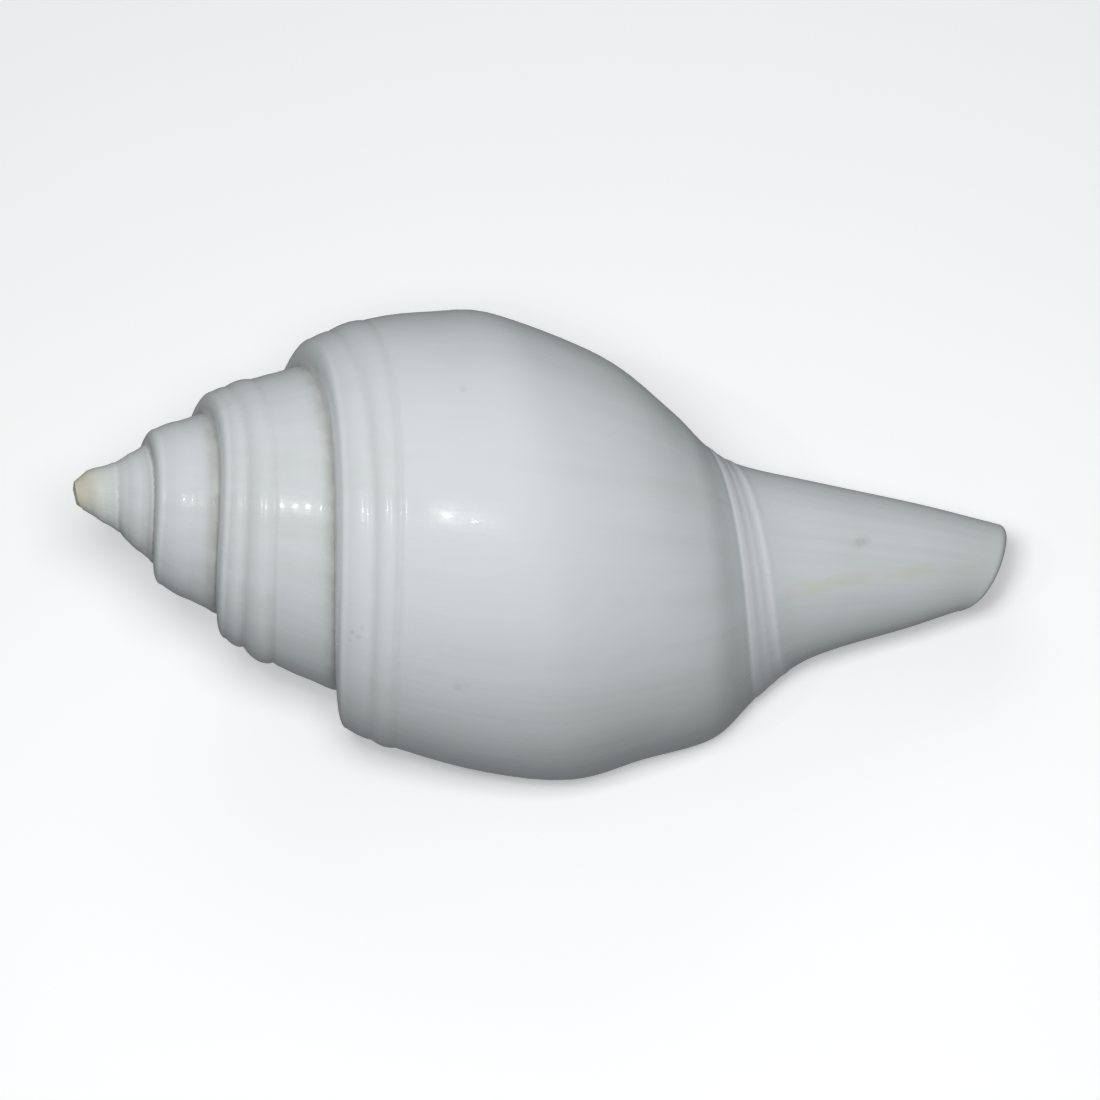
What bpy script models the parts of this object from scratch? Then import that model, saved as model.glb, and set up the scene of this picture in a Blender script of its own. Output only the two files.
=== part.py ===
"""A polished sacred chank shell, lying on its aperture with the spire towards -X and the canal towards +X.

The shell is one piece. Its wall grows along a right-handed spiral about one axis, and every section of it
in a half-plane through that axis is one outline: suture, shoulder, cords, flank, base, ridge band, canal.
Two sheets are swept from that outline: the outside of all the whorls, and the chamber behind the aperture.

Outlines are in millimetres, as (distance from the apex along the axis, distance from the axis).
A place along the spiral is a turn: 0 at the lip, -1 one whorl earlier, -6 at the apex.
"""

import math

import bmesh
import bpy
from mathutils import Matrix, Vector

MM = 0.001

# How the shell lies
ROLL_DEG = 125.6  # from straight up to the lip, turning with the growth
PITCH_DEG = 13.1  # how far the canal end dips
WORN_FLAT = 0.25  # depth of the worn spots it rests on

# Whorls
WHORLS = 6
NUCLEUS_TURN = -5.0  # the suture starts on the apex here
SLOWING_TURN = -0.5  # growth slows over the last half whorl
DEPTH_GROWTH = 0.63  # natural logarithm of the growth over one whorl
RADIUS_GROWTH = 0.485
RADIUS_SLOWING = 0.077
SHOULDER_GROWTH = 0.45

# Suture and shoulder half a whorl before the lip
FIRST_WHORLS_DEPTH = 1.2
SUTURE_DEPTH = 27.1
SUTURE_RADIUS = 19.1
SHOULDER_RADIUS = 23.0
SHOULDER_DROP = 0.054  # from the suture to the shoulder, against the whorl's depth
CORD_ZONE_LENGTH = 7.7
CORD_ZONE_BULGE = 1.6
CORD_ZONE_GROWTH = (1.65, 4.35)  # rate and slowing
FLANK_BULGE = 0.44
FLANK_BULGE_GROWTH = 1.75
NOSE_RADIUS = 2.4  # radius of the blunt apex, 1 mm below its tip
NOSE_BULGE = 0.6  # against the depth of the first whorls
WAIST_TURN = -3.1  # the spire is slimmest for its height here
WAIST = 0.09
SUTURE_SWAY = 1.3  # the suture lies this much deeper once in each turn
SWAY_PLACE = 0.64
SWAY_WIDTH = 0.17
PINCH_TURN = -1.02  # the shoulder is weakest here
PINCH = 0.03
PINCH_WIDTH = 0.22

# Lower outline at one whorl before the lip, half a whorl before it, and at the lip
FLANK = ((54.5, 20.0), (68.0, 24.4), (80.0, 29.8))
LOWER_FLANK = ((66.0, 12.5), (77.0, 18.5), (89.2, 26.3))
BAND_START = ((75.0, 6.6), (82.3, 14.2), (94.3, 20.7))
BAND_END = ((80.0, 4.9), (88.0, 11.4), (99.2, 15.7))
CANAL_NECK = ((90.0, 3.8), (100.0, 9.8), (103.8, 12.8))
CANAL_MIDDLE = ((104.0, 2.9), (113.5, 8.2), (113.0, 8.9))
CANAL_TIP = ((118.5, 2.3), (125.0, 6.4), (118.7, 5.9))
TIP_ROUNDING = 1.1

# Relief
CORD_HEIGHT = 0.4
GROOVES_BEFORE = (0.36, 0.87)  # places of the two grooves across the cords, one whorl before the lip
GROOVES_LAST = (0.5, 0.89)
RIDGE_HEIGHT = 0.25
FOLDS = (63.0, 67.5, 71.5)  # columella folds, by depth one whorl before the lip
FOLD_HEIGHT = 1.2
FOLD_WIDTH = 1.1

# Wall and chamber
WALL = 3.0
WALL_GROWTH = 0.3
CHAMBER_TURNS = 1.15
CHANNEL_TURNS = 0.3  # the canal's channel gets shorter over these turns behind the lip
CHANNEL_CLOSING = 0.9
LIP_ROUNDING = 300.0  # millimetres of wall that one turn of the spiral would round

# Facets
STEPS_PER_TURN = 34
LIP_ROWS = (0.0, 0.0024, 0.0072)  # extra rows, in turns before the lip, that round its edge
RAMP_STEPS = 2
CORD_STEPS = (2, 2, 1)  # shoulder to first groove, to second groove, to the end of the cords
FLANK_STEPS = 2
BASE_STEPS = 9
BAND_STEPS = 3
CANAL_STEPS = 5
TIP_STEPS = 1


def lerp(a, b, t):
    return a + (b - a) * t


def between(p, q, t):
    return (lerp(p[0], q[0], t), lerp(p[1], q[1], t))


def smooth(t):
    t = min(max(t, 0.0), 1.0)
    return t * t * (3 - 2 * t)


def hump(distance, width):
    return math.exp(-((distance / width) ** 2))


def growth(turn, rate, slowing=0.0):
    """Size against that at SLOWING_TURN, for a growth rate per turn that drops afterwards."""
    late = turn - SLOWING_TURN
    return math.exp(rate * late - slowing * max(late, 0.0) ** 2)


# The spiral's leading points


def suture(turn):
    """Where the whorl is attached to the one before it."""
    start = min(max((turn - NUCLEUS_TURN) / 1.2, 0.0), 1.0)
    radius = SUTURE_RADIUS * growth(turn, RADIUS_GROWTH, RADIUS_SLOWING) * start
    nose = max((radius / NOSE_RADIUS) ** 4, 1e-9)
    spire = FIRST_WHORLS_DEPTH + SUTURE_DEPTH * growth(turn, DEPTH_GROWTH)
    place = turn - math.floor(turn)
    swayed = SUTURE_SWAY * hump(place - SWAY_PLACE, SWAY_WIDTH) * smooth((turn + 2.7) / 0.8)
    slimmer = 1 - WAIST * hump(turn - WAIST_TURN, 1.0)
    return ((nose**-4 + spire**-4) ** -0.25 + swayed, radius * slimmer)


def shouldered(turn):
    """0 on the smooth first whorls, 1 where the shoulder has its full step."""
    return smooth((turn + 3.3) / 1.0)


def on_whorl(turn, depth, radius):
    """A point of the upper outline, drawn onto the straight line between sutures on the first whorls."""
    top, bottom = suture(turn), suture(turn + 1)
    along = (depth - top[0]) / max(bottom[0] - top[0], 1e-9)
    bulge = NOSE_BULGE * min(max(-4 - turn, 0.0), 1.0) ** 2 * (bottom[0] - top[0])
    plain = lerp(top[1], bottom[1], along) + bulge * 4 * along * (1 - along)
    return (depth, lerp(plain, radius, shouldered(turn)))


def shoulder(turn):
    top, bottom = suture(turn)[0], suture(turn + 1)[0]
    depth = lerp(top, bottom, min(0.3, SHOULDER_DROP * growth(turn, -0.6)))
    pinched = 1 - PINCH * hump(turn - PINCH_TURN, PINCH_WIDTH)
    return on_whorl(turn, depth, SHOULDER_RADIUS * growth(turn, SHOULDER_GROWTH) * pinched)


def cord_zone_end(turn):
    start, bottom = shoulder(turn), suture(turn + 1)
    height = max(bottom[0] - start[0], 0.001)
    plain = between(start, bottom, min(CORD_ZONE_LENGTH / height, 0.5))
    return (plain[0], plain[1] + CORD_ZONE_BULGE * growth(turn, *CORD_ZONE_GROWTH) * shouldered(turn))


def upper_flank(turn):
    middle = between(cord_zone_end(turn), suture(turn + 1), 0.5)
    return (middle[0], middle[1] + FLANK_BULGE * growth(turn, FLANK_BULGE_GROWTH) * shouldered(turn))


def staged(stages, turn):
    """A point of the lower outline. Before the last whorl it shrinks towards the apex with the sutures."""
    shrink_depth, shrink_radius = 1.0, 1.0
    if turn < -1:
        shrink_depth = math.exp(DEPTH_GROWTH * (turn + 1))
        shrink_radius = math.exp(RADIUS_GROWTH * (turn + 1))
        turn = -1
    early = 2 * turn * (turn + 0.5)
    middle = -4 * turn * (turn + 1)
    late = 2 * (turn + 0.5) * (turn + 1)
    depth, radius = (
        early * a + middle * b + late * c for a, b, c in zip(*stages)
    )
    return (depth * shrink_depth, radius * shrink_radius)


# One section's outline


def catmull_rom(p, q, r, s, t):
    """From q to r as t goes from 0 to 1. p and s are the values before and after them."""
    square, cube = 2 * p - 5 * q + 4 * r - s, 3 * q - p - 3 * r + s
    return 0.5 * (2 * q + (r - p) * t + square * t**2 + cube * t**3)


def curve_through(points, steps):
    """Catmull-Rom curve: steps[i] pieces from points[i + 1] to points[i + 2]."""
    placed = []
    for i, count in enumerate(steps):
        a, b, c, d = points[i : i + 4]
        for k in range(count):
            knots = zip(a, b, c, d)
            placed.append(tuple(catmull_rom(*values, k / count) for values in knots))
    placed.append(points[len(steps) + 1])
    return placed


def ramp(turn):
    """From the suture straight outwards and round onto the shoulder, without its last point."""
    start, end = suture(turn), shoulder(turn)
    points = []
    for k in range(RAMP_STEPS):
        angle = 0.5 * math.pi * k / RAMP_STEPS
        step = shouldered(turn)
        across = lerp(k / RAMP_STEPS, math.sin(angle) ** 0.8, step)
        along = lerp(k / RAMP_STEPS, 1 - math.cos(angle), step)
        points.append((lerp(start[0], end[0], along), lerp(start[1], end[1], across)))
    return points


def cord_zone(turn):
    """From the shoulder over two grooves to the plain flank, without its last point."""
    start, end = shoulder(turn), cord_zone_end(turn)
    late = smooth((turn + 0.5) / 0.3)
    grooves = between(GROOVES_BEFORE, GROOVES_LAST, late)
    strength = smooth((turn + 2.1) / 0.5) * lerp(1.0, 0.7, late)
    length = math.dist(start, end)
    points = []
    stops = (0.0, *grooves, 1.0)
    for stop, following, count in zip(stops, stops[1:], CORD_STEPS):
        for k in range(count):
            t = lerp(stop, following, k / count)
            crest = CORD_HEIGHT * strength * math.sin(math.pi * k / count) * (following < 1)
            rise = 0.05 * length * math.sin(math.pi * t) + crest
            place = between(start, end, t)
            points.append((place[0], place[1] + rise))
    return points


def flank_and_canal(turn):
    """From the end of the cords to the tip of the canal."""
    end, middle, bottom = cord_zone_end(turn), upper_flank(turn), suture(turn + 1)
    below = [
        staged(FLANK, turn),
        staged(LOWER_FLANK, turn),
        staged(BAND_START, turn),
        staged(BAND_END, turn),
        staged(CANAL_NECK, turn),
        staged(CANAL_MIDDLE, turn),
        staged(CANAL_TIP, turn),
    ]
    beyond = between(below[-2], below[-1], 2.0)
    next_knot = between(bottom, below[0], lerp(0.25, 1.0, smooth((turn + 1.1) / 0.3)))
    upper = curve_through([shoulder(turn), end, middle, bottom, next_knot], (1, FLANK_STEPS - 1))
    base = BASE_STEPS // 3
    steps = (base, base, BASE_STEPS - 2 * base, BAND_STEPS, 2, 2, CANAL_STEPS - 4)
    outline = upper[:-1] + curve_through([middle, bottom, *below, beyond], steps)
    shrink = math.exp(DEPTH_GROWTH * min(turn + 1, 0.0))
    folded = 1 - smooth((turn + 1) / 0.12)
    band_from = FLANK_STEPS + BASE_STEPS
    relieved = []
    for k, (depth, radius) in enumerate(outline):
        across = (k - band_from) / BAND_STEPS
        rise = RIDGE_HEIGHT * (0 <= across < 1 and turn > -1)
        folds = sum(hump(depth / shrink - fold, FOLD_WIDTH) for fold in FOLDS)
        rise += FOLD_HEIGHT * folded * folds * shrink * (k > FLANK_STEPS)
        relieved.append((depth, radius + rise))
    return relieved


def tip_rounding(edge):
    points = []
    for k in range(1, TIP_STEPS + 1):
        angle = 0.42 * math.pi * k / TIP_STEPS
        points.append(
            (
                edge[0] + TIP_ROUNDING * math.sin(angle),
                edge[1] - TIP_ROUNDING * (1 - math.cos(angle)),
            )
        )
    return points


def outline(turn):
    """The whole outline of a section, from its suture to the canal's tip."""
    lower = flank_and_canal(turn)
    return ramp(turn) + cord_zone(turn) + lower + tip_rounding(lower[-1])


NEXT_SUTURE = RAMP_STEPS + sum(CORD_STEPS) + FLANK_STEPS
LAST = len(outline(0.0)) - 1


# The chamber


def offset(points, k, distance):
    """The point at k moved square to the outline, towards the axis."""
    before, after = points[max(k - 1, 0)], points[min(k + 1, len(points) - 1)]
    along = Vector((after[0] - before[0], after[1] - before[1])).normalized()
    return (points[k][0] + along.y * distance, points[k][1] - along.x * distance)


def edge_rounding(turn, wall):
    """How far the outside draws in, and the inside draws out, to meet at the lip's middle."""
    reach = min(-turn * LIP_ROUNDING / wall, 1.0)
    return 0.5 * wall * (1 - math.sqrt(1 - (1 - reach) ** 2))


def outer_row(turn):
    points = outline(turn)
    drawn_in = edge_rounding(turn, WALL)
    if drawn_in < 1e-9:
        return points
    return [points[0]] + [offset(points, k, drawn_in) for k in range(1, LAST + 1)]


def chamber_row(turn):
    """One section of the chamber: inside of the wall from the suture to the canal, then back along
    the columella and the whorl before."""
    wall = WALL * math.exp(WALL_GROWTH * turn)
    outside, before = outline(turn), outline(turn - 1)
    reach = math.exp(turn / CHANNEL_TURNS)
    floor_from = NEXT_SUTURE + BASE_STEPS
    inner = [before[k] for k in range(NEXT_SUTURE + 1, LAST + 1)]
    outer = []
    thickness = wall - edge_rounding(turn, wall)
    crest = RAMP_STEPS + 1
    for k in range(1, LAST + 1):
        point = offset(outside, k, thickness)
        if k < crest and turn < 0:
            roof = offset(outside, crest, thickness)
            point = between(inner[0], roof, k / crest)
        outer.append(point)
    if turn < 0:
        inner = drawn_up(inner, floor_from - NEXT_SUTURE - 1, reach)
        outer = drawn_up(outer, floor_from - 1, reach)
        end = inner[-1]
        for k in range(floor_from, LAST):
            part = (k - floor_from + 1) / (LAST - floor_from)
            outer[k] = between(outer[k], end, CHANNEL_CLOSING * (1 - reach) * part**2)
    return [*outer, *reversed(inner), outer[0]]


def drawn_up(points, start, reach):
    """The points after start, drawn towards it along the outline, so that the channel gets shorter."""
    kept = points[: start + 1]
    for k in range(start + 1, len(points)):
        place = start + (k - start) * reach
        low = min(int(place), len(points) - 2)
        kept.append(between(points[low], points[low + 1], place - low))
    return kept


# Sheets and solid


def turns_back_to(length):
    """Turns from the lip backwards, evenly spaced apart from the extra rows that round the lip."""
    fractions = sorted({*LIP_ROWS, *(k / STEPS_PER_TURN for k in range(STEPS_PER_TURN))})
    turns = [-(whole + part) for whole in range(math.ceil(length)) for part in fractions]
    return [turn for turn in turns if turn >= -length - 1e-9] + [-length] * (length == int(length))


def placed(turn, point):
    """A point of a section, in metres about the shell's own axis, which is +X from the apex."""
    angle = 2 * math.pi * turn
    depth, radius = point[0] * MM, point[1] * MM
    return Vector((depth, -radius * math.sin(angle), radius * math.cos(angle)))


def sheet(mesh, turns, row_of):
    """Adds a grid of faces with one row of points for each turn. Returns its rows of vertices."""
    rows = [row_of(turn) for turn in turns]
    across, along = len(rows[0]) - 1, len(rows) - 1
    made = bmesh.ops.create_grid(mesh, x_segments=across, y_segments=along, size=1)["verts"]
    made.sort(key=lambda vertex: (round(vertex.co.y, 6), round(vertex.co.x, 6)))
    grid = [made[k * (across + 1) : (k + 1) * (across + 1)] for k in range(along + 1)]
    for turn, points, vertices in zip(turns, rows, grid):
        for point, vertex in zip(points, vertices):
            vertex.co = placed(turn, point)
    return grid


def remove_covered(mesh, grid, turns):
    """Deletes the faces that the next whorl covers."""
    covered = set()
    for turn, vertices in zip(turns, grid):
        if turn < -1 + 1e-9:
            covered.update(vertices[NEXT_SUTURE:])
    faces = [face for face in mesh.faces if all(vertex in covered for vertex in face.verts)]
    bmesh.ops.delete(mesh, geom=faces, context="FACES_ONLY")
    loose = [vertex for vertex in mesh.verts if not vertex.link_faces]
    bmesh.ops.delete(mesh, geom=loose, context="VERTS")


def close_holes(mesh):
    """Caps the canal's tip, the chamber's end and the corner of the lip."""
    rims = [edge for edge in mesh.edges if edge.is_boundary]
    caps = bmesh.ops.holes_fill(mesh, edges=rims, sides=0)["faces"]
    bmesh.ops.poke(mesh, faces=[cap for cap in caps if len(cap.verts) > 4])


def wear_flats(mesh, lowest):
    """Cuts the underside level where the shell rests, and closes the cuts with flat faces."""
    geometry = [*mesh.verts, *mesh.edges, *mesh.faces]
    cut = bmesh.ops.bisect_plane(
        mesh,
        geom=geometry,
        dist=1e-7,
        plane_co=(0, 0, lowest),
        plane_no=(0, 0, -1),
        clear_outer=True,
    )["geom_cut"]
    rims = [edge for edge in cut if isinstance(edge, bmesh.types.BMEdge)]
    bmesh.ops.holes_fill(mesh, edges=rims, sides=0)


def shell_mesh():
    mesh = bmesh.new()
    turns = turns_back_to(WHORLS)
    grid = sheet(mesh, turns, outer_row)
    remove_covered(mesh, grid, turns)
    sheet(mesh, turns_back_to(CHAMBER_TURNS), chamber_row)
    bmesh.ops.remove_doubles(mesh, verts=mesh.verts, dist=2e-6)
    close_holes(mesh)
    bmesh.ops.recalc_face_normals(mesh, faces=mesh.faces)
    return mesh


def lay_down(mesh):
    """Turns the shell as it lies, and sets its box's bottom centre at the origin."""
    lie = Matrix.Rotation(math.radians(PITCH_DEG), 4, "Y") @ Matrix.Rotation(math.radians(ROLL_DEG), 4, "X")
    bmesh.ops.transform(mesh, matrix=lie, verts=mesh.verts)
    lowest = min(vertex.co.z for vertex in mesh.verts)
    wear_flats(mesh, lowest + WORN_FLAT * MM)
    corners = [
        [pick(vertex.co[axis] for vertex in mesh.verts) for axis in range(3)] for pick in (min, max)
    ]
    centre = [lerp(low, high, 0.5) for low, high in zip(*corners)]
    bmesh.ops.translate(mesh, vec=(-centre[0], -centre[1], -corners[0][2]), verts=mesh.verts)


def polished_shell():
    """Warm white, glazed by polishing."""
    material = bpy.data.materials.new("polished_shell")
    material.use_nodes = True
    surface = material.node_tree.nodes["Principled BSDF"]
    surface.inputs["Base Color"].default_value = (0.74, 0.76, 0.74, 1)
    surface.inputs["Roughness"].default_value = 0.2
    surface.inputs["Metallic"].default_value = 0.0
    return material


def main():
    for obj in list(bpy.data.objects):
        bpy.data.objects.remove(obj)
    collection = bpy.data.collections.new("conch_shell")
    bpy.context.scene.collection.children.link(collection)
    mesh = shell_mesh()
    lay_down(mesh)
    data = bpy.data.meshes.new("shell")
    mesh.to_mesh(data)
    mesh.free()
    data.materials.append(polished_shell())
    data.shade_smooth()
    collection.objects.link(bpy.data.objects.new("shell", data))


main()
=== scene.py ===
"""The looks of a polished sacred chank shell that lies on its aperture, and the stage it is shown on.

The shell's wall is swept along one spiral. Each section of it in a half-plane through the axis is an
outline in millimetres, (distance from the apex along the axis, distance from the axis). A place along
the spiral is a turn: 0 at the lip, -1 one whorl earlier.
"""

import math

import bmesh
import bpy
from mathutils import Matrix, Vector


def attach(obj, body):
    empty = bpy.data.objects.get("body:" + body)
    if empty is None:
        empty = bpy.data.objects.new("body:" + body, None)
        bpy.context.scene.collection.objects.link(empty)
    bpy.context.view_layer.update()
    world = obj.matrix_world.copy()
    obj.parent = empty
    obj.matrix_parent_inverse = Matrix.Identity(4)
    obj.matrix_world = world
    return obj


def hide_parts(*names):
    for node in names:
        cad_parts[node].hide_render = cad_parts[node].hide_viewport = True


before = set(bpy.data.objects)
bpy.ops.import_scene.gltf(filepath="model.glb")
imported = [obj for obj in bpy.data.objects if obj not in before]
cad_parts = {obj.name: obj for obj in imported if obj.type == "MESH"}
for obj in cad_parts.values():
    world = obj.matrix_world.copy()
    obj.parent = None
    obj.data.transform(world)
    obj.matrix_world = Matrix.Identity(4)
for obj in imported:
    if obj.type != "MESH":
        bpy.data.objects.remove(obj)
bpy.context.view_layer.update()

bl_info = {
    "name": "Chank Shell",
    "version": (1, 0, 0),
    "blender": (4, 5, 0),
    "location": "View3D > Sidebar > Chank Shell",
    "description": "Builds a polished chank shell with its material, and a plain stage for it",
    "category": "Add Mesh",
}

MM = 0.001

# Whorls
WHORLS = 6
NUCLEUS_TURN = -5.0  # the suture starts on the apex here
SLOWING_TURN = -0.5  # growth slows over the last half whorl
DEPTH_GROWTH = 0.63  # natural logarithm of the growth over one whorl
RADIUS_GROWTH = 0.485
RADIUS_SLOWING = 0.077
SHOULDER_GROWTH = 0.45

# Suture and shoulder half a whorl before the lip
FIRST_WHORLS_DEPTH = 1.2
SUTURE_DEPTH = 27.1
SUTURE_RADIUS = 19.1
SHOULDER_RADIUS = 23.0
SHOULDER_DROP = 0.054  # from the suture to the shoulder, against the whorl's depth
CORD_ZONE_LENGTH = 7.7
CORD_ZONE_BULGE = 1.6
CORD_ZONE_GROWTH = (1.65, 4.35)  # rate and slowing
FLANK_BULGE = 0.44
FLANK_BULGE_GROWTH = 1.75
NOSE_RADIUS = 2.4  # radius of the blunt apex, 1 mm below its tip
NOSE_BULGE = 0.6  # against the depth of the first whorls
WAIST_TURN = -3.1  # the spire is slimmest for its height here
WAIST = 0.09
SUTURE_SWAY = 1.3  # the suture lies this much deeper once in each turn
SWAY_PLACE = 0.64
SWAY_WIDTH = 0.17
PINCH_TURN = -1.02  # the shoulder is weakest here
PINCH = 0.03
PINCH_WIDTH = 0.22

# Lower outline at one whorl before the lip, half a whorl before it, and at the lip
FLANK = ((54.5, 20.0), (68.0, 24.4), (80.0, 29.8))
LOWER_FLANK = ((66.0, 12.5), (77.0, 18.5), (89.2, 26.3))
BAND_START = ((75.0, 6.6), (82.3, 14.2), (94.3, 20.7))
BAND_END = ((80.0, 4.9), (88.0, 11.4), (99.2, 15.7))
CANAL_NECK = ((90.0, 3.8), (100.0, 9.8), (103.8, 12.8))
CANAL_MIDDLE = ((104.0, 2.9), (113.5, 8.2), (113.0, 8.9))
CANAL_TIP = ((118.5, 2.3), (125.0, 6.4), (118.7, 5.9))
TIP_ROUNDING = 1.1

# Relief
FIRST_CORD_FROM = 0.3  # part of the first cord's arch that the shoulder takes up
GROOVES_BEFORE = (0.31, 0.85)  # places of the two grooves across the cords, one whorl before the lip
GROOVES_LAST = (0.45, 0.88)
CORD_GROOVE = 0.2
CORD_GROOVE_WIDTH = 0.5
RIDGES = ((0.29, 0.4, 0.5), (0.55, 0.4, 0.55), (0.84, 0.5, 1.2))  # place, width, height
BAND_GROOVE = 0.16  # depth of the hollow just before the ridges
BAND_GROOVE_PLACE = 0.4
BAND_GROOVE_WIDTH = 0.5
FOLDS = (63.0, 67.5, 71.5)  # columella folds, by depth one whorl before the lip
FOLD_WIDTH = 1.1

# Painted shade in the sutures and cord grooves, and the yellowed apex
# Darker colour is painted along the sutures and in the cord grooves as the shade that falls in these
# creases.
SUTURE_SHADE_WIDTH = 1.3
GROOVE_SHADE = 0.22  # against the painted shade in a suture
GROOVE_SHADE_WIDTH = 0.45
YELLOWED_DEPTH = 3.2  # of the apex

# Wall and chamber
WALL_GROWTH = 0.3
CHAMBER_TURNS = 1.15
CHANNEL_TURNS = 0.3  # the canal's channel gets shorter over these turns behind the lip
CHANNEL_CLOSING = 0.9
LIP_ROUNDING = 300.0  # millimetres of wall that one turn of the spiral would round

# Rows and columns of faces
LIP_ROWS = (0.0, 0.0005, 0.0016, 0.0033, 0.005)  # extra rows, in turns before the lip, that round its edge
RAMP_STEPS = 7
CORD_STEPS = (10, 8, 6)  # shoulder to first groove, to second groove, to the end of the cords
FLANK_STEPS = 8
BASE_STEPS = 24
BAND_STEPS = 28
CANAL_STEPS = 18
TIP_STEPS = 4


class ShellSettings(bpy.types.PropertyGroup):
    wall: bpy.props.FloatProperty(
        name="Lip wall",
        description="Thickness of the wall at the lip, in millimetres",
        default=3.0,
        min=1.0,
    )
    cord: bpy.props.FloatProperty(
        name="Cord",
        description="Height of the cords below the shoulder, in millimetres",
        default=0.55,
    )
    ridge: bpy.props.FloatProperty(
        name="Base ridge",
        description="Height of the ridges at the base of the body whorl, in millimetres",
        default=0.09,
    )
    fold: bpy.props.FloatProperty(
        name="Columella fold",
        description="Height of the folds on the columella, in millimetres",
        default=1.2,
    )
    worn: bpy.props.FloatProperty(
        name="Worn flat",
        description="Depth of the worn spots the shell rests on, in millimetres",
        default=0.25,
    )
    roll: bpy.props.FloatProperty(
        name="Roll",
        description="Angle from straight up to the lip",
        default=math.radians(125.6),
        subtype="ANGLE",
    )
    pitch: bpy.props.FloatProperty(
        name="Pitch",
        description="Angle by which the canal end dips",
        default=math.radians(13.1),
        subtype="ANGLE",
    )
    rows: bpy.props.IntProperty(
        name="Rows per whorl",
        description="Rows of faces in one whorl",
        default=144,
        min=24,
    )


class ShellColours(bpy.types.PropertyGroup):
    pearl: bpy.props.FloatVectorProperty(
        name="Pearl",
        description="Main colour of the polished wall",
        default=(0.79, 0.835, 0.84),
        subtype="COLOR",
    )
    shade: bpy.props.FloatVectorProperty(
        name="Shade",
        description="Greyer growth bands and clouds",
        default=(0.66, 0.71, 0.69),
        subtype="COLOR",
    )
    cream: bpy.props.FloatVectorProperty(
        name="Cream",
        description="Warm tint of the apex, the canal's streak and the chamber",
        default=(0.72, 0.66, 0.42),
        subtype="COLOR",
    )
    scuffed: bpy.props.FloatVectorProperty(
        name="Scuffed",
        description="White of the ridge band, where handling scuffs it",
        default=(0.93, 0.96, 0.99),
        subtype="COLOR",
    )
    # Painted shade: this colour darkens the sutures and cord grooves in place of their shade, and also
    # colours the real specks, smudge, stains and pits.
    shade_and_stains: bpy.props.FloatVectorProperty(
        name="Soil",
        description="Dirt left in the sutures",
        default=(0.22, 0.2, 0.13),
        subtype="COLOR",
    )


class StageSettings(bpy.types.PropertyGroup):
    floor: bpy.props.FloatVectorProperty(
        name="Floor",
        description="Colour of the floor",
        default=(0.94, 0.94, 0.94),
        subtype="COLOR",
    )
    distance: bpy.props.FloatProperty(
        name="Camera distance",
        description="From the camera to the point it looks at",
        default=0.7,
        unit="LENGTH",
    )
    azimuth: bpy.props.FloatProperty(
        name="Camera azimuth",
        description="Round the shell from -Y towards +X",
        default=math.radians(10.42),
        subtype="ANGLE",
    )
    elevation: bpy.props.FloatProperty(
        name="Camera elevation",
        description="Above the floor",
        default=math.radians(61.08),
        subtype="ANGLE",
    )
    tilt: bpy.props.FloatProperty(
        name="Camera roll",
        description="Turns the picture about its middle",
        default=math.radians(-10.4),
        subtype="ANGLE",
    )
    width: bpy.props.FloatProperty(
        name="View width",
        description="Width that the picture covers at the shell",
        default=0.14667,
        unit="LENGTH",
    )


def lerp(a, b, t):
    return a + (b - a) * t


def between(p, q, t):
    return (lerp(p[0], q[0], t), lerp(p[1], q[1], t))


def smooth(t):
    t = min(max(t, 0.0), 1.0)
    return t * t * (3 - 2 * t)


def hump(distance, width):
    return math.exp(-((distance / width) ** 2))


def growth(turn, rate, slowing=0.0):
    """Size against that at SLOWING_TURN, for a growth rate per turn that drops afterwards."""
    late = turn - SLOWING_TURN
    return math.exp(rate * late - slowing * max(late, 0.0) ** 2)


# The spiral's leading points


def suture(turn):
    """Where the whorl is attached to the one before it."""
    start = min(max((turn - NUCLEUS_TURN) / 1.2, 0.0), 1.0)
    radius = SUTURE_RADIUS * growth(turn, RADIUS_GROWTH, RADIUS_SLOWING) * start
    nose = max((radius / NOSE_RADIUS) ** 4, 1e-9)
    spire = FIRST_WHORLS_DEPTH + SUTURE_DEPTH * growth(turn, DEPTH_GROWTH)
    place = turn - math.floor(turn)
    swayed = SUTURE_SWAY * hump(place - SWAY_PLACE, SWAY_WIDTH) * smooth((turn + 2.7) / 0.8)
    slimmer = 1 - WAIST * hump(turn - WAIST_TURN, 1.0)
    return ((nose**-4 + spire**-4) ** -0.25 + swayed, radius * slimmer)


def shouldered(turn):
    """0 on the smooth first whorls, 1 where the shoulder has its full step."""
    return smooth((turn + 3.3) / 1.0)


def on_whorl(turn, depth, radius):
    """A point of the upper outline, drawn onto the straight line between sutures on the first whorls."""
    top, bottom = suture(turn), suture(turn + 1)
    along = (depth - top[0]) / max(bottom[0] - top[0], 1e-9)
    bulge = NOSE_BULGE * min(max(-4 - turn, 0.0), 1.0) ** 2 * (bottom[0] - top[0])
    plain = lerp(top[1], bottom[1], along) + bulge * 4 * along * (1 - along)
    return (depth, lerp(plain, radius, shouldered(turn)))


def shoulder(turn):
    """The widest point below the suture, where the cords begin."""
    top, bottom = suture(turn)[0], suture(turn + 1)[0]
    depth = lerp(top, bottom, min(0.3, SHOULDER_DROP * growth(turn, -0.6)))
    pinched = 1 - PINCH * hump(turn - PINCH_TURN, PINCH_WIDTH)
    return on_whorl(turn, depth, SHOULDER_RADIUS * growth(turn, SHOULDER_GROWTH) * pinched)


def cord_zone_end(turn):
    """Where the cords give way to the plain flank."""
    start, bottom = shoulder(turn), suture(turn + 1)
    height = max(bottom[0] - start[0], 0.001)
    plain = between(start, bottom, min(CORD_ZONE_LENGTH / height, 0.5))
    return (plain[0], plain[1] + CORD_ZONE_BULGE * growth(turn, *CORD_ZONE_GROWTH) * shouldered(turn))


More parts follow.
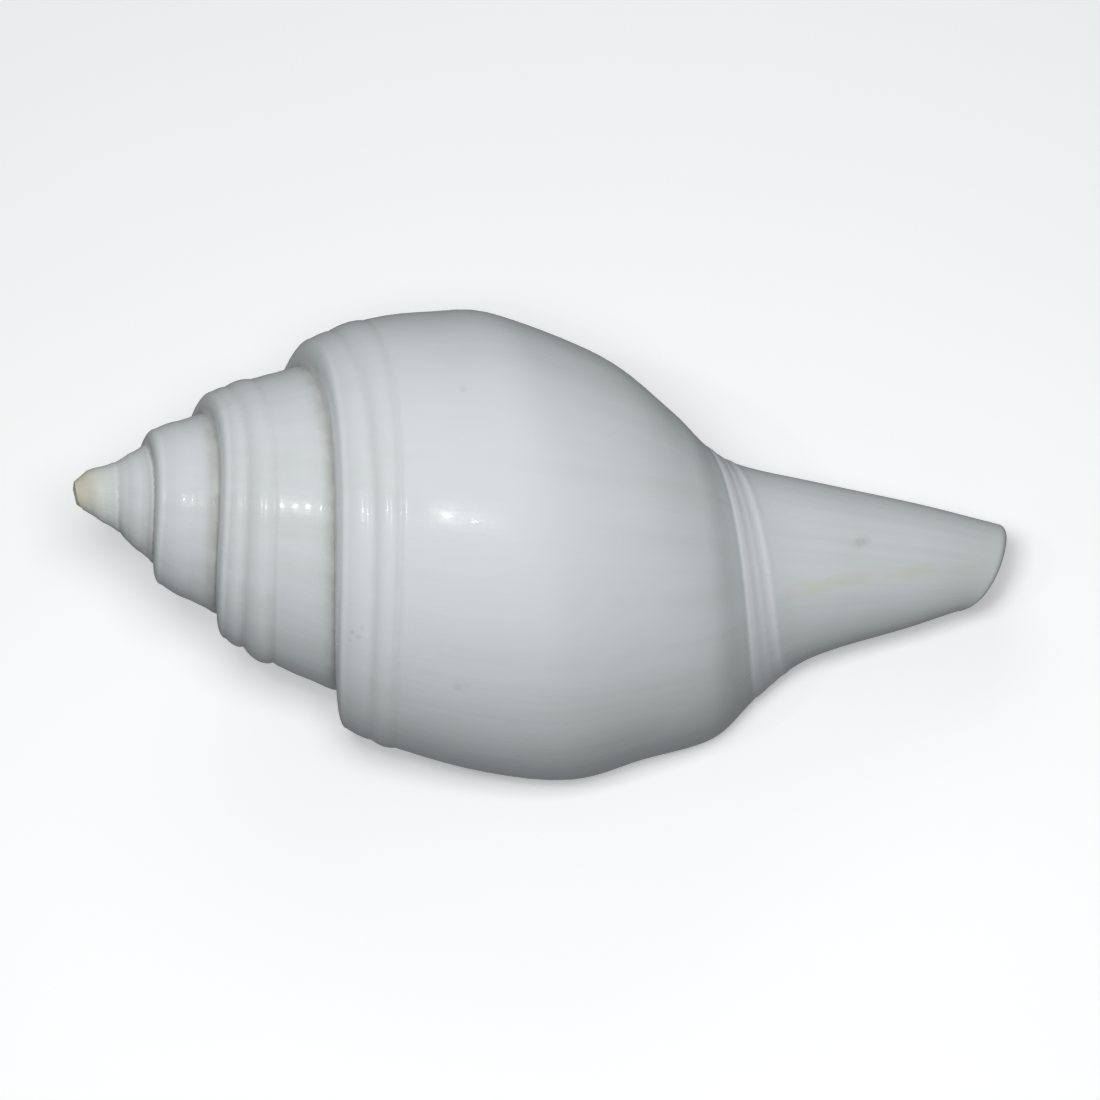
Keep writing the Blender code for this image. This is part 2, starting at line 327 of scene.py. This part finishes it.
def upper_flank(turn):
    """Half-way from the end of the cords to the next suture."""
    middle = between(cord_zone_end(turn), suture(turn + 1), 0.5)
    return (middle[0], middle[1] + FLANK_BULGE * growth(turn, FLANK_BULGE_GROWTH) * shouldered(turn))


def staged(stages, turn):
    """A point of the lower outline. Before the last whorl it shrinks towards the apex with the sutures."""
    shrink_depth, shrink_radius = 1.0, 1.0
    if turn < -1:
        shrink_depth = math.exp(DEPTH_GROWTH * (turn + 1))
        shrink_radius = math.exp(RADIUS_GROWTH * (turn + 1))
        turn = -1
    early = 2 * turn * (turn + 0.5)
    middle = -4 * turn * (turn + 1)
    late = 2 * (turn + 0.5) * (turn + 1)
    depth, radius = (early * a + middle * b + late * c for a, b, c in zip(*stages))
    return (depth * shrink_depth, radius * shrink_radius)


# One section's outline


def catmull_rom(p, q, r, s, t):
    """From q to r as t goes from 0 to 1. p and s are the values before and after them."""
    square, cube = 2 * p - 5 * q + 4 * r - s, 3 * q - p - 3 * r + s
    return 0.5 * (2 * q + (r - p) * t + square * t**2 + cube * t**3)


def curve_through(points, steps):
    """Catmull-Rom curve: steps[i] pieces from points[i + 1] to points[i + 2]."""
    placed = []
    for i, count in enumerate(steps):
        a, b, c, d = points[i : i + 4]
        for k in range(count):
            knots = zip(a, b, c, d)
            placed.append(tuple(catmull_rom(*values, k / count) for values in knots))
    placed.append(points[len(steps) + 1])
    return placed


def ramp(turn, height):
    """From the suture straight outwards and round onto the first cord, without its last point."""
    start, end = suture(turn), shoulder(turn)
    end = (end[0], end[1] + height * grooves_at(turn)[1] * math.sin(math.pi * FIRST_CORD_FROM))
    points = []
    for k in range(RAMP_STEPS):
        angle = 0.5 * math.pi * k / RAMP_STEPS
        step = shouldered(turn)
        across = lerp(k / RAMP_STEPS, math.sin(angle) ** 0.8, step)
        along = lerp(k / RAMP_STEPS, 1 - math.cos(angle), step)
        points.append((lerp(start[0], end[0], along), lerp(start[1], end[1], across)))
    return points


def grooves_at(turn):
    """Places of the two grooves across the cord zone, and how strong they are."""
    places = between(GROOVES_BEFORE, GROOVES_LAST, smooth((turn + 0.5) / 0.3))
    strength = 0.3 + 0.7 * hump(turn + 1.1, 0.25) + 0.55 * hump(turn + 0.27, 0.17)
    return places, strength * smooth((turn + 2.1) / 0.5)


def cord_zone(turn, height):
    """From the shoulder over two grooves to the plain flank, without its last point."""
    start, end = shoulder(turn), cord_zone_end(turn)
    grooves, strength = grooves_at(turn)
    length = math.dist(start, end)
    points = []
    stops = (0.0, *grooves, 1.0)
    for stop, following, count in zip(stops, stops[1:], CORD_STEPS):
        first = FIRST_CORD_FROM if stop == 0 else 0.0
        for k in range(count):
            t = lerp(stop, following, k / count)
            cut = sum(hump((t - g) * length, CORD_GROOVE_WIDTH) for g in grooves)
            crest = height * strength * math.sin(math.pi * lerp(first, 1.0, k / count)) * (following < 1)
            rise = 0.05 * length * math.sin(math.pi * t) + crest - CORD_GROOVE * strength * cut
            place = between(start, end, t)
            points.append((place[0], place[1] + rise))
    return points


LOWER_STEPS = (
    BASE_STEPS // 3,
    BASE_STEPS // 3,
    BASE_STEPS - 2 * (BASE_STEPS // 3),
    BAND_STEPS,
    CANAL_STEPS // 3,
    CANAL_STEPS // 3,
    CANAL_STEPS - 2 * (CANAL_STEPS // 3),
)
BAND_FROM = FLANK_STEPS + BASE_STEPS


def flank_and_canal(turn, sizes):
    """From the end of the cords to the tip of the canal."""
    stages = (FLANK, LOWER_FLANK, BAND_START, BAND_END, CANAL_NECK, CANAL_MIDDLE, CANAL_TIP)
    end, middle, bottom = cord_zone_end(turn), upper_flank(turn), suture(turn + 1)
    below = [staged(stage, turn) for stage in stages]
    beyond = between(below[-2], below[-1], 2.0)
    # On the line to the next point, as far off as keeps the short stretch above it from swelling.
    next_knot = between(middle, below[0], 2 * math.dist(middle, bottom) / math.dist(middle, below[0]))
    half = FLANK_STEPS // 2
    upper = curve_through([shoulder(turn), end, middle, bottom, next_knot], (half, FLANK_STEPS - half))
    outline = upper[:-1] + curve_through([middle, bottom, *below, beyond], LOWER_STEPS)
    shrink = math.exp(DEPTH_GROWTH * min(turn + 1, 0.0))
    folded = 1 - smooth((turn + 1) / 0.12)
    ridged = smooth((turn + 1) / 0.15)
    band = math.dist(below[2], below[3])
    relieved = []
    for k, (depth, radius) in enumerate(outline):
        across = (k - BAND_FROM) / BAND_STEPS
        ridges = sum(high * hump((across - place) * band, width) for place, width, high in RIDGES)
        folds = sum(hump(depth / shrink - fold, FOLD_WIDTH) for fold in FOLDS)
        hollow = BAND_GROOVE * hump(across * band - BAND_GROOVE_PLACE, BAND_GROOVE_WIDTH)
        rise = (sizes.ridge * ridges - hollow) * ridged
        rise += sizes.fold * folded * folds * shrink * (k > FLANK_STEPS)
        relieved.append((depth, radius + rise))
    return relieved


def tip_rounding(edge):
    """The rounded end of the canal's wall, from its edge."""
    points = []
    for k in range(1, TIP_STEPS + 1):
        angle = 0.42 * math.pi * k / TIP_STEPS
        across = TIP_ROUNDING * (1 - math.cos(angle))
        points.append((edge[0] + TIP_ROUNDING * math.sin(angle), edge[1] - across))
    return points


def outline(turn, sizes):
    """The whole outline of a section, from its suture to the canal's tip."""
    lower = flank_and_canal(turn, sizes)
    return ramp(turn, sizes.cord) + cord_zone(turn, sizes.cord) + lower + tip_rounding(lower[-1])


NEXT_SUTURE = RAMP_STEPS + sum(CORD_STEPS) + FLANK_STEPS
LAST = NEXT_SUTURE + sum(LOWER_STEPS) + TIP_STEPS


# The chamber


def offset(points, k, distance):
    """The point at k moved square to the outline, towards the axis."""
    before, after = points[max(k - 1, 0)], points[min(k + 1, len(points) - 1)]
    along = Vector((after[0] - before[0], after[1] - before[1])).normalized()
    return (points[k][0] + along.y * distance, points[k][1] - along.x * distance)


def edge_rounding(turn, wall):
    """How far the outside draws in, and the inside draws out, to meet at the lip's middle."""
    reach = min(-turn * LIP_ROUNDING / wall, 1.0)
    return 0.5 * wall * (1 - math.sqrt(1 - (1 - reach) ** 2))


def outer_row(turn, sizes):
    points = outline(turn, sizes)
    drawn_in = edge_rounding(turn, sizes.wall)
    if drawn_in < 1e-9:
        return points
    return [points[0]] + [offset(points, k, drawn_in) for k in range(1, LAST + 1)]


def drawn_up(points, start, reach):
    """The points after start, drawn towards it along the outline, so that the channel gets shorter."""
    kept = points[: start + 1]
    for k in range(start + 1, len(points)):
        place = start + (k - start) * reach
        low = min(int(place), len(points) - 2)
        kept.append(between(points[low], points[low + 1], place - low))
    return kept


def chamber_row(turn, sizes):
    """One section of the chamber: inside of the wall from the suture to the canal, then back along
    the columella and the whorl before, to where it started."""
    wall = sizes.wall * math.exp(WALL_GROWTH * turn)
    outside, before = outline(turn, sizes), outline(turn - 1, sizes)
    reach = math.exp(turn / CHANNEL_TURNS)
    floor_from = NEXT_SUTURE + BASE_STEPS
    inner = [before[k] for k in range(NEXT_SUTURE + 1, LAST + 1)]
    outer = []
    thickness = wall - edge_rounding(turn, wall)
    crest = RAMP_STEPS + 1
    roof = offset(outside, crest, thickness)
    for k in range(1, LAST + 1):
        point = offset(outside, k, thickness)
        if k < crest and turn < 0:
            point = between(inner[0], roof, k / crest)
        outer.append(point)
    if turn < 0:
        inner = drawn_up(inner, floor_from - NEXT_SUTURE - 1, reach)
        outer = drawn_up(outer, floor_from - 1, reach)
        end = inner[-1]
        for k in range(floor_from, LAST):
            part = (k - floor_from + 1) / (LAST - floor_from)
            outer[k] = between(outer[k], end, CHANNEL_CLOSING * (1 - reach) * part**2)
    return outer + inner[::-1] + outer[:1]


# Sheets and solid


def turns_back_to(length, rows):
    """Turns from the lip backwards, evenly spaced apart from the extra rows that round the lip."""
    fractions = sorted({*LIP_ROWS, *(k / rows for k in range(rows))})
    turns = [-(whole + part) for whole in range(math.ceil(length)) for part in fractions]
    return [turn for turn in turns if turn >= -length - 1e-9] + [-length] * (length == int(length))


def placed(turn, point):
    """A point of a section, in metres about the shell's own axis, which is +X from the apex."""
    angle = 2 * math.pi * turn
    depth, radius = point[0] * MM, point[1] * MM
    return Vector((depth, -radius * math.sin(angle), radius * math.cos(angle)))


def suture_and_groove_shade(turn, row):
    """How much painted shade each point of an outer row gets, from 0 to 1: the sutures and cord grooves are
    darkened where shade falls in them.
    """
    shaded = []
    grooves, strength = grooves_at(turn)
    joined = turn <= -1
    cord_end = RAMP_STEPS + sum(CORD_STEPS)
    start, end = row[RAMP_STEPS], row[cord_end]
    length = max(math.dist(start, end), 1e-6)
    for k, point in enumerate(row):
        # Painted shade along the suture at the top of the whorl.
        shade_and_stain_amount = hump(math.dist(point, row[0]), SUTURE_SHADE_WIDTH)
        # Painted shade along the suture where the next whorl covers this one.
        if joined:
            shade_and_stain_amount = max(shade_and_stain_amount, hump(math.dist(point, row[NEXT_SUTURE]), SUTURE_SHADE_WIDTH))
        # Painted shade in the cord grooves.
        if RAMP_STEPS < k < cord_end:
            along = math.dist(point, start)
            cut = sum(hump(along - g * length, GROOVE_SHADE_WIDTH) for g in grooves)
            shade_and_stain_amount = max(shade_and_stain_amount, GROOVE_SHADE * strength * cut)
        shaded.append(shade_and_stain_amount * smooth(turn + 3.7))
    return shaded


def sheet(mesh, turns, row_of, marks_of):
    """Adds a grid of faces through the rows of points, one row for each turn, with the marks of each
    point. Returns its rows of vertices."""
    rows = [row_of(turn) for turn in turns]
    across, along = len(rows[0]) - 1, len(rows) - 1
    made = bmesh.ops.create_grid(mesh, x_segments=across, y_segments=along, size=1)["verts"]
    made.sort(key=lambda vertex: (round(vertex.co.y, 6), round(vertex.co.x, 6)))
    grid = [made[k * (across + 1) : (k + 1) * (across + 1)] for k in range(along + 1)]
    # The painted shade of the sutures and grooves, and the warmth, go on each vertex.
    shade_and_stains, warmth = mesh.verts.layers.float["shade_and_stains"], mesh.verts.layers.float["warmth"]
    growth_map = mesh.loops.layers.uv["growth"]
    for turn, points, vertices in zip(turns, rows, grid):
        for k, (point, vertex, marks) in enumerate(zip(points, vertices, marks_of(turn, points))):
            vertex.co = placed(turn, point)
            vertex[shade_and_stains], vertex[warmth] = marks
            for loop in vertex.link_loops:
                loop[growth_map].uv = (turn, k / across)
    return grid


def remove_covered(mesh, grid, turns):
    """Deletes the faces that the next whorl covers."""
    covered = set()
    for turn, vertices in zip(turns, grid):
        if turn < -1 + 1e-9:
            covered.update(vertices[NEXT_SUTURE:])
    faces = [face for face in mesh.faces if all(vertex in covered for vertex in face.verts)]
    bmesh.ops.delete(mesh, geom=faces, context="FACES_ONLY")
    loose = [vertex for vertex in mesh.verts if not vertex.link_faces]
    bmesh.ops.delete(mesh, geom=loose, context="VERTS")


def close_holes(mesh):
    """Caps the canal's tip, the chamber's end and the corner of the lip."""
    rims = [edge for edge in mesh.edges if edge.is_boundary]
    caps = bmesh.ops.holes_fill(mesh, edges=rims, sides=0)["faces"]
    bmesh.ops.poke(mesh, faces=[cap for cap in caps if len(cap.verts) > 4])


def wear_flats(mesh, lowest):
    """Cuts the underside level where the shell rests, and closes the cuts with flat faces."""
    cut = bmesh.ops.bisect_plane(
        mesh,
        geom=[*mesh.verts, *mesh.edges, *mesh.faces],
        dist=1e-7,
        plane_co=(0, 0, lowest),
        plane_no=(0, 0, -1),
        clear_outer=True,
    )["geom_cut"]
    rims = [edge for edge in cut if isinstance(edge, bmesh.types.BMEdge)]
    bmesh.ops.holes_fill(mesh, edges=rims, sides=0)


def outer_marks(turn, points):
    """Painted shade and warmth of each point of an outer row. The apex is yellowed."""
    warm = [0.75 * hump(depth, YELLOWED_DEPTH) for depth, radius in points]
    return zip(suture_and_groove_shade(turn, points), warm)


def chamber_marks(turn, points):
    """Painted shade and warmth of each point of a chamber row, which has no painted shade and gets warmer
    inwards.
    """
    warm = 0.55 * smooth((-turn - 0.02) / 0.45)
    return [(0.0, warm)] * len(points)


def shell_mesh(sizes):
    mesh = bmesh.new()
    # Painted shade of the sutures and grooves, per vertex.
    mesh.verts.layers.float.new("shade_and_stains")
    mesh.verts.layers.float.new("warmth")
    mesh.loops.layers.uv.new("growth")
    turns = turns_back_to(WHORLS, sizes.rows)
    grid = sheet(mesh, turns, lambda turn: outer_row(turn, sizes), outer_marks)
    remove_covered(mesh, grid, turns)
    chamber_turns = turns_back_to(CHAMBER_TURNS, sizes.rows)
    sheet(mesh, chamber_turns, lambda turn: chamber_row(turn, sizes), chamber_marks)
    bmesh.ops.remove_doubles(mesh, verts=mesh.verts, dist=1e-6)
    close_holes(mesh)
    bmesh.ops.recalc_face_normals(mesh, faces=mesh.faces)
    return mesh


def lay_down(mesh, sizes):
    """Turns the shell as it lies, and sets its box's bottom centre at the origin."""
    lie = Matrix.Rotation(sizes.pitch, 4, "Y") @ Matrix.Rotation(sizes.roll, 4, "X")
    bmesh.ops.transform(mesh, matrix=lie, verts=mesh.verts)
    lowest = min(vertex.co.z for vertex in mesh.verts)
    wear_flats(mesh, lowest + sizes.worn * MM)
    corners = [[pick(vertex.co[axis] for vertex in mesh.verts) for axis in range(3)] for pick in (min, max)]
    centre = [lerp(low, high, 0.5) for low, high in zip(*corners)]
    bmesh.ops.translate(mesh, vec=(-centre[0], -centre[1], -corners[0][2]), verts=mesh.verts)


# Materials


class Number:
    """A number in a material that may change over the surface. Sums on it add their Math nodes."""

    def __init__(self, nodes, socket):
        self.nodes, self.socket = nodes, socket

    def math(self, operation, *others):
        return self.nodes.math(operation, self, *others)

    def __add__(self, other):
        return self.math("ADD", other)

    __radd__ = __add__

    def __sub__(self, other):
        return self.math("SUBTRACT", other)

    def __rsub__(self, other):
        return self.nodes.math("SUBTRACT", other, self)

    def __mul__(self, other):
        return self.math("MULTIPLY", other)

    __rmul__ = __mul__


class Nodes:
    """The nodes of one material."""

    def __init__(self, name):
        self.material = bpy.data.materials.new(name)
        self.material.use_nodes = True
        self.tree = self.material.node_tree
        self.surface = self.tree.nodes["Principled BSDF"]

    def set(self, socket, value):
        if isinstance(value, Number):
            value = value.socket
        if isinstance(value, bpy.types.NodeSocket):
            self.tree.links.new(value, socket)
        else:
            socket.default_value = value

    def add(self, kind, settings, values=()):
        """A node of this type, with its settings first and then its sockets' values or links."""
        node = self.tree.nodes.new(kind)
        for name, value in settings.items():
            setattr(node, name, value)
        for name, value in dict(values).items():
            self.set(node.inputs[name], value)
        return node

    def math(self, operation, *values):
        node = self.add("ShaderNodeMath", {"operation": operation}, enumerate(values))
        return Number(self, node.outputs[0])

    def noise(self, place, scale, detail=3.0, roughness=0.5):
        values = {"Vector": place, "Scale": scale, "Detail": detail, "Roughness": roughness}
        return Number(self, self.add("ShaderNodeTexNoise", {}, values).outputs["Fac"])

    def between(self, value, low, high):
        """0 where the value is under low, 1 where it is over high, and smooth in between."""
        settings = {"interpolation_type": "SMOOTHSTEP"}
        values = {"Value": value, "From Min": low, "From Max": high}
        return Number(self, self.add("ShaderNodeMapRange", settings, values).outputs[0])

    def mix(self, first, second, factor):
        values = {"Factor": factor, 6: first, 7: second}
        return self.add("ShaderNodeMix", {"data_type": "RGBA"}, values).outputs[2]

    def attribute(self, name):
        return Number(self, self.add("ShaderNodeAttribute", {"attribute_name": name}).outputs["Fac"])

    def bump(self, height, distance, strength=1.0):
        values = {"Height": height, "Distance": distance, "Strength": strength}
        self.set(self.surface.inputs["Normal"], self.add("ShaderNodeBump", {}, values).outputs["Normal"])


def rgba(colour):
    return (*colour, 1.0)


# Marks in the polish: place on the shell as it lies and radius, in millimetres, and strength
SMUDGE = (((41.9, -1.3, 21.0), 1.0, 0.2), ((42.6, -0.8, 20.8), 1.1, 0.28), ((43.4, -0.3, 20.6), 1.0, 0.22))
STAINS = (((-9.4, -27.2, 32.5), 0.9, 0.25), ((-8.2, -27.1, 32.9), 0.7, 0.2), ((-7.9, 6.3, 51.7), 0.7, 0.3))
PITS = (
    ((-22.9, -22.0, 38.4), 0.5, 0.4),
    ((-22.1, -22.6, 38.1), 0.5, 0.35),
    ((-23.4, -22.5, 37.2), 0.4, 0.35),
    ((-21.5, -21.9, 39.3), 0.4, 0.3),
)


def streaked(nodes, place, turn, across):
    """Where the canal's faint streak lies: along one stretch of the spiral, broken and wandering."""
    wander = (nodes.noise(place, 70.0, 2.0) - 0.5) * 0.05
    middle = turn + 0.205 + (across - 0.8) * 0.45 + wander
    streak = 1.0 - nodes.between(middle.math("ABSOLUTE"), 0.004, 0.02)
    streak = streak * nodes.between(across, 0.79, 0.84) * (1.0 - nodes.between(across, 0.93, 0.97))
    return streak * nodes.between(nodes.noise(place, 120.0, 3.0), 0.3, 0.55)


def on_ridge_band(nodes, turn, across):
    """1 on the ridge band of the last whorl, and fading at its edges."""
    start, length = (RAMP_STEPS + sum(CORD_STEPS) + BAND_FROM) / LAST, BAND_STEPS / LAST
    risen = nodes.between(across, start, start + 0.15 * length)
    ended = nodes.between(across, start + 0.8 * length, start + 1.05 * length)
    return risen * (1.0 - ended) * nodes.between(turn, -1.0, -0.9)


def marked(nodes, place):
    """Strength of the smudge, the stains and the pits, with ragged edges."""
    strengths = 0.0
    for spot, size, strength in (*SMUDGE, *STAINS, *PITS):
        centre, radius = tuple(MM * part for part in spot), size * MM
        away = nodes.add("ShaderNodeVectorMath", {"operation": "DISTANCE"}, {0: place, 1: centre})
        ragged = Number(nodes, away.outputs["Value"]) + (nodes.noise(place, 900.0, 2.0) - 0.5) * radius
        strengths = strengths + (1.0 - nodes.between(ragged, 0.3 * radius, radius)) * strength
    return strengths


def specked(nodes, place):
    """Tiny dark specks, one in some of the cells."""
    cells = nodes.add("ShaderNodeTexVoronoi", {}, {"Vector": place, "Scale": 150.0})
    picked = nodes.add("ShaderNodeSeparateColor", {}, {"Color": cells.outputs["Color"]}).outputs["Red"]
    inside = 1.0 - nodes.between(Number(nodes, cells.outputs["Distance"]), 0.02, 0.075)
    return inside * nodes.between(Number(nodes, picked), 0.86, 0.88)


def growth_lines(nodes, turn, across, waves, detail):
    """Noise drawn out along the growth lines. waves holds its waves in a whorl, its waves over a section
    and which of the many patterns of that size it is."""
    place = {"X": turn * waves[0], "Y": across * waves[1], "Z": waves[2]}
    combined = nodes.add("ShaderNodeCombineXYZ", {}, place)
    return nodes.noise(combined.outputs[0], 1.0, *detail)


def polished_shell(colours):
    """Pearl white with greyer growth bands, cleaner on the ridges, with painted shade in the sutures and
    grooves.
    """
    nodes = Nodes("polished_shell")
    place = nodes.add("ShaderNodeTexCoord", {}).outputs["Object"]
    growth_map = nodes.add("ShaderNodeUVMap", {"uv_map": "growth"}).outputs["UV"]
    split = nodes.add("ShaderNodeSeparateXYZ", {}, {"Vector": growth_map})
    turn, across = Number(nodes, split.outputs["X"]), Number(nodes, split.outputs["Y"])
    # The painted shade of the sutures and grooves, and the warmth, from each vertex.
    shade_and_stains, warmth = nodes.attribute("shade_and_stains"), nodes.attribute("warmth")

    clouds = nodes.noise(place, 26.0, 4.0, 0.55)
    lines = growth_lines(nodes, turn, across, (46.0, 3.0, 0.0), (5.0, 0.6))
    fine = growth_lines(nodes, turn, across, (260.0, 8.0, 3.0), (2.0,))
    shade = nodes.between(clouds * 0.6 + lines * 0.4, 0.42, 0.66)
    colour = nodes.mix(rgba(colours.pearl), rgba(colours.shade), shade * 0.45)
    yellowed = (warmth * 0.95 + streaked(nodes, place, turn, across) * 0.28).math("MINIMUM", 1.0)
    colour = nodes.mix(colour, rgba(colours.cream), yellowed)
    colour = nodes.mix(colour, rgba(colours.scuffed), on_ridge_band(nodes, turn, across) * 0.85)

    specks = specked(nodes, place)
    patchy = nodes.between(nodes.noise(place, 240.0, 4.0, 0.65), 0.32, 0.62)
    # Painted shade in the sutures and grooves, together with the real specks, smudge, stains and pits.
    shade_and_stain_amount = shade_and_stains * (0.6 + patchy * 0.4) + specks * 0.35 + marked(nodes, place)
    shade_and_stain_amount = shade_and_stain_amount.math("MINIMUM", 1.0)
    colour = nodes.mix(colour, rgba(colours.shade_and_stains), shade_and_stain_amount * 0.55)

    nodes.set(nodes.surface.inputs["Base Color"], colour)
    nodes.set(nodes.surface.inputs["Roughness"], 0.19 + clouds * 0.07 + shade_and_stain_amount * 0.4 + warmth * 0.12)
    nodes.set(nodes.surface.inputs["IOR"], 1.56)
    nodes.set(nodes.surface.inputs["Coat Weight"], 0.35)
    nodes.set(nodes.surface.inputs["Coat Roughness"], 0.06)
    waves = nodes.noise(place, 85.0, 3.0, 0.45)
    scratches = nodes.noise(place, 1300.0, 2.0)
    nodes.bump(waves * 0.8 + lines * 0.25 + fine * 0.05 + scratches * 0.06 - specks * 0.15, 0.0005, 0.5)
    return nodes.material


def pale_floor(colour):
    """Matt and faintly mottled. A little light of its own keeps it pale."""
    nodes = Nodes("pale_floor")
    place = nodes.add("ShaderNodeTexCoord", {}).outputs["Object"]
    grain = nodes.noise(place, 30.0, 4.0)
    darker = tuple(0.985 * part for part in colour)
    nodes.set(nodes.surface.inputs["Base Color"], nodes.mix(rgba(colour), rgba(darker), grain))
    nodes.set(nodes.surface.inputs["Roughness"], 0.9)
    nodes.set(nodes.surface.inputs["Emission Color"], (1.0, 1.0, 1.0, 1.0))
    nodes.set(nodes.surface.inputs["Emission Strength"], 0.3)
    return nodes.material


# Operators and panel


class SHELL_OT_shell(bpy.types.Operator):
    """Build the shell and give it its polished material"""

    bl_idname = "object.chank_shell"
    bl_label = "Shell"
    bl_options = {"REGISTER", "UNDO"}

    def execute(self, context):
        sizes = context.scene.chank_shell_sizes
        mesh = shell_mesh(sizes)
        lay_down(mesh, sizes)
        data = bpy.data.meshes.new("polished_shell")
        mesh.to_mesh(data)
        mesh.free()
        data.shade_smooth()
        data.materials.append(polished_shell(context.scene.chank_shell_colours))
        shell = bpy.data.objects.new("polished_shell", data)
        context.scene.collection.objects.link(shell)
        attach(shell, "root")
        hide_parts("shell")
        return {"FINISHED"}


def area_light(scene, name, place, aim, size, power, shine=True):
    """A light of size (width, height) that faces aim. The camera doesn't see it, and glossy surfaces
    mirror it only with shine."""
    light = bpy.data.lights.new(name, "AREA")
    light.shape = "RECTANGLE"
    light.size, light.size_y = size
    light.energy = power
    lamp = bpy.data.objects.new(name, light)
    lamp.visible_glossy = shine
    lamp.visible_camera = False
    lamp.location = place
    lamp.rotation_euler = (aim - place).to_track_quat("-Z", "Y").to_euler()
    scene.collection.objects.link(lamp)


def spherical(azimuth, elevation, distance):
    """A place round the origin. Azimuth 0 is towards -Y, and grows towards +X."""
    level = math.cos(elevation) * distance
    return Vector((math.sin(azimuth) * level, -math.cos(azimuth) * level, math.sin(elevation) * distance))


CAMERA_AIM = Vector((0.00130, -0.00324, 0.02500))
ROOM_COLOUR = (0.92, 0.96, 1.0, 1.0)
ROOM_STRENGTH = 0.18

# Broad lamps, which light the wall and aren't mirrored in it: size in metres, watts
KEY = ((0.1, 0.1), 0.49)
FILL = ((0.6, 0.6), 1.25)
BOUNCE = ((0.5, 0.5), 0.22)

# Small lamps that the polish mirrors: angles left of and above the camera, size in metres, watts
FLASHES = (
    ("flash", math.radians(6.9), math.radians(8.0), (0.011, 0.022), 0.16),
    ("second flash", math.radians(1.5), math.radians(6.3), (0.01, 0.01), 0.014),
    ("side flash", math.radians(29.5), math.radians(10.0), (0.014, 0.03), 0.17),
)


class SHELL_OT_stage(bpy.types.Operator):
    """Add the floor, the lights and the camera"""

    bl_idname = "object.chank_shell_stage"
    bl_label = "Stage"
    bl_options = {"REGISTER", "UNDO"}

    def execute(self, context):
        scene, stage = context.scene, context.scene.chank_shell_stage
        plane = bmesh.new()
        bmesh.ops.create_grid(plane, x_segments=1, y_segments=1, size=2.0)
        data = bpy.data.meshes.new("floor")
        plane.to_mesh(data)
        plane.free()
        data.materials.append(pale_floor(stage.floor))
        floor = bpy.data.objects.new("floor", data)
        floor.visible_diffuse = floor.visible_glossy = False
        scene.collection.objects.link(floor)

        aim = CAMERA_AIM
        back = spherical(stage.azimuth, stage.elevation, stage.distance)
        camera = bpy.data.cameras.new("camera")
        camera.sensor_width = 36.0
        camera.lens = camera.sensor_width * stage.distance / stage.width
        camera.clip_start, camera.clip_end = 0.01, 20.0
        holder = bpy.data.objects.new("camera", camera)
        holder.location = aim + back
        level = (-back).to_track_quat("-Z", "Y").to_matrix().to_4x4()
        turned = level @ Matrix.Rotation(stage.tilt, 4, "Z")
        holder.rotation_euler = turned.to_euler()
        scene.collection.objects.link(holder)
        scene.camera = holder

        right, up = (turned.to_3x3() @ Vector(axis) for axis in ((1, 0, 0), (0, 1, 0)))
        towards = back.normalized()
        behind = spherical(stage.azimuth + math.pi, math.radians(35.0), 0.9)
        low = spherical(stage.azimuth, math.radians(8.0), 0.7)
        key = aim + 0.3 * towards - 0.02 * right + 0.04 * up
        area_light(scene, "key", key, aim, *KEY, shine=False)
        area_light(scene, "fill", behind, aim, *FILL, shine=False)
        area_light(scene, "bounce", low, aim, *BOUNCE, shine=False)
        for name, left, upward, size, power in FLASHES:
            turned_to = towards - math.tan(left) * right + math.tan(upward) * up
            area_light(scene, name, aim + stage.distance * turned_to.normalized(), aim, size, power)
        world = bpy.data.worlds.new("room")
        world.use_nodes = True
        background = world.node_tree.nodes["Background"]
        background.inputs["Color"].default_value = ROOM_COLOUR
        background.inputs["Strength"].default_value = ROOM_STRENGTH
        scene.world = world
        scene.view_settings.view_transform = "Standard"
        return {"FINISHED"}


class SHELL_PT_panel(bpy.types.Panel):
    bl_idname = "SHELL_PT_panel"
    bl_label = "Chank Shell"
    bl_space_type = "VIEW_3D"
    bl_region_type = "UI"
    bl_category = "Chank Shell"

    def draw(self, context):
        layout = self.layout
        for group in GROUPS:
            settings = getattr(context.scene, group)
            for name in settings.__annotations__:
                layout.prop(settings, name)
        for operator in OPERATORS:
            layout.operator(operator.bl_idname)


GROUPS = {
    "chank_shell_sizes": ShellSettings,
    "chank_shell_colours": ShellColours,
    "chank_shell_stage": StageSettings,
}
OPERATORS = (SHELL_OT_shell, SHELL_OT_stage)


def register():
    for group in (*GROUPS.values(), *OPERATORS, SHELL_PT_panel):
        bpy.utils.register_class(group)
    for name, group in GROUPS.items():
        setattr(bpy.types.Scene, name, bpy.props.PointerProperty(type=group))


def unregister():
    for name in GROUPS:
        delattr(bpy.types.Scene, name)
    for group in (SHELL_PT_panel, *reversed(OPERATORS), *reversed(GROUPS.values())):
        bpy.utils.unregister_class(group)


def main():
    register()
    bpy.ops.object.chank_shell()
    bpy.ops.object.chank_shell_stage()


if __name__ == "__main__":
    main()
